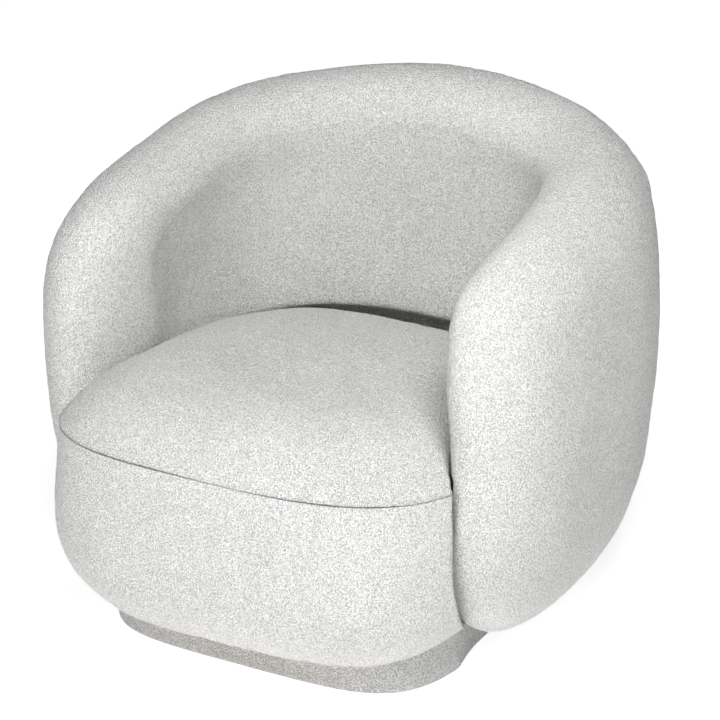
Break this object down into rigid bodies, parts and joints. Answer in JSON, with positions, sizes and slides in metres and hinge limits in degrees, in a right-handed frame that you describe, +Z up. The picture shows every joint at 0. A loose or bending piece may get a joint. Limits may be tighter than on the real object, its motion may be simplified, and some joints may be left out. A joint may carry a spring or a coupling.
{
  "type": "upholstered tub armchair",
  "caption": "Low tub armchair in cream boucle: a thick curved wrap forms the back and arms round a domed tight seat on a low upholstered plinth.",
  "frame": {"origin": "centre of the chair's footprint box at floor level", "axes": "+X to the sitter's left, -Y out of the chair's front, +Z up; the chair is mirror symmetrical about the plane X = 0"},
  "size_m": [0.826, 0.8248, 0.702],
  "materials": {
    "boucle": "matte",
    "foam": "matte",
    "timber": "matte",
    "plywood": "matte",
    "spring_steel": "satin",
    "zinc": "satin",
    "felt": "matte",
    "dust_cloth": "matte",
    "nylon": "matte"
  },
  "bodies": {
    "root": {"glide_front_left": "nylon", "glide_front_right": "nylon", "glide_rear_left": "nylon", "glide_rear_right": "nylon", "inside_back_cover": "boucle", "inside_back_foam": "foam", "outside_back_cover": "boucle", "outside_back_foam": "foam", "plinth_bolt_front_left": "zinc", "plinth_bolt_front_right": "zinc", "plinth_bolt_rear_left": "zinc", "plinth_bolt_rear_right": "zinc", "plinth_cover": "boucle", "plinth_dust_cover": "dust_cloth", "plinth_foam": "foam", "plinth_front_rail": "timber", "plinth_rear_rail": "timber", "plinth_side_rail_left": "timber", "plinth_side_rail_right": "timber", "plinth_top_board": "plywood", "seat_base_board": "plywood", "seat_boxing_cover": "boucle", "seat_corner_block_front_left": "timber", "seat_corner_block_front_right": "timber", "seat_corner_block_rear_left": "timber", "seat_corner_block_rear_right": "timber", "seat_foam": "foam", "seat_front_rail": "timber", "seat_rear_rail": "timber", "seat_side_foam": "foam", "seat_side_rail_left": "timber", "seat_side_rail_right": "timber", "seat_spring_1": "spring_steel", "seat_spring_2": "spring_steel", "seat_spring_3": "spring_steel", "seat_spring_4": "spring_steel", "seat_top_cover": "boucle", "spring_clip_front_1": "zinc", "spring_clip_front_2": "zinc", "spring_clip_front_3": "zinc", "spring_clip_front_4": "zinc", "spring_clip_rear_1": "zinc", "spring_clip_rear_2": "zinc", "spring_clip_rear_3": "zinc", "spring_clip_rear_4": "zinc", "spring_pad": "felt", "wrap_base_rib": "plywood", "wrap_bolt_front_left": "zinc", "wrap_bolt_front_right": "zinc", "wrap_bolt_side_left": "zinc", "wrap_bolt_side_right": "zinc", "wrap_front_post_left": "timber", "wrap_front_post_right": "timber", "wrap_quarter_post_left": "timber", "wrap_quarter_post_right": "timber", "wrap_rear_post_left": "timber", "wrap_rear_post_right": "timber", "wrap_side_post_left": "timber", "wrap_side_post_right": "timber", "wrap_top_rib": "plywood"}
  },
  "joints": []
}
